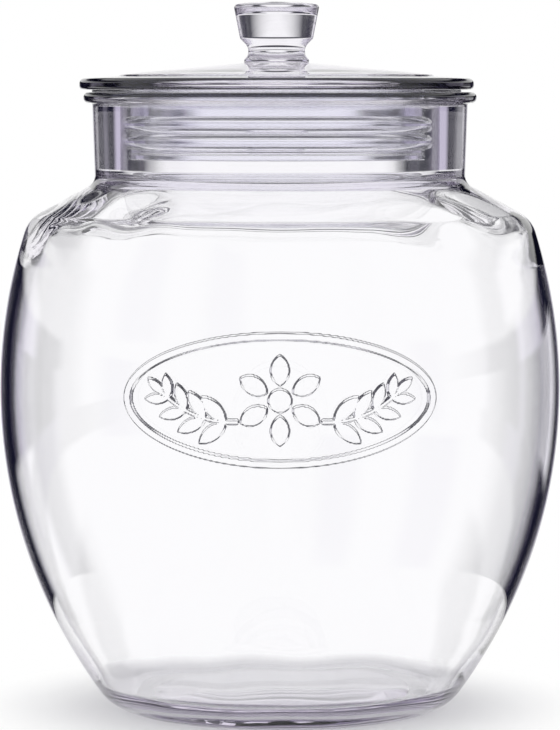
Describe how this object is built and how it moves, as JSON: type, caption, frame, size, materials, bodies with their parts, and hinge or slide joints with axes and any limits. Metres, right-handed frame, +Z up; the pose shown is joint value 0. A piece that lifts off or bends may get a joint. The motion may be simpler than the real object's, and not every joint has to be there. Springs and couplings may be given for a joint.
{
  "type": "glass storage jar",
  "caption": "Rounded glass storage jar with a thick neck, a push-in glass lid with a knob, a clear seal and a raised oval emblem.",
  "frame": {"origin": "centre of the foot ring, on the surface that the jar stands on", "axes": "+Z up the jar's axis, -Y out of the front, where the emblem is"},
  "size_m": [0.1959, 0.1968, 0.2473],
  "materials": {
    "jar_glass": "clear, polished",
    "lid_glass": "clear, polished",
    "seal_silicone": "clear, smooth silicone"
  },
  "bodies": {
    "root": {"jar": "jar_glass", "lid": "lid_glass", "seal": "seal_silicone"}
  },
  "joints": []
}
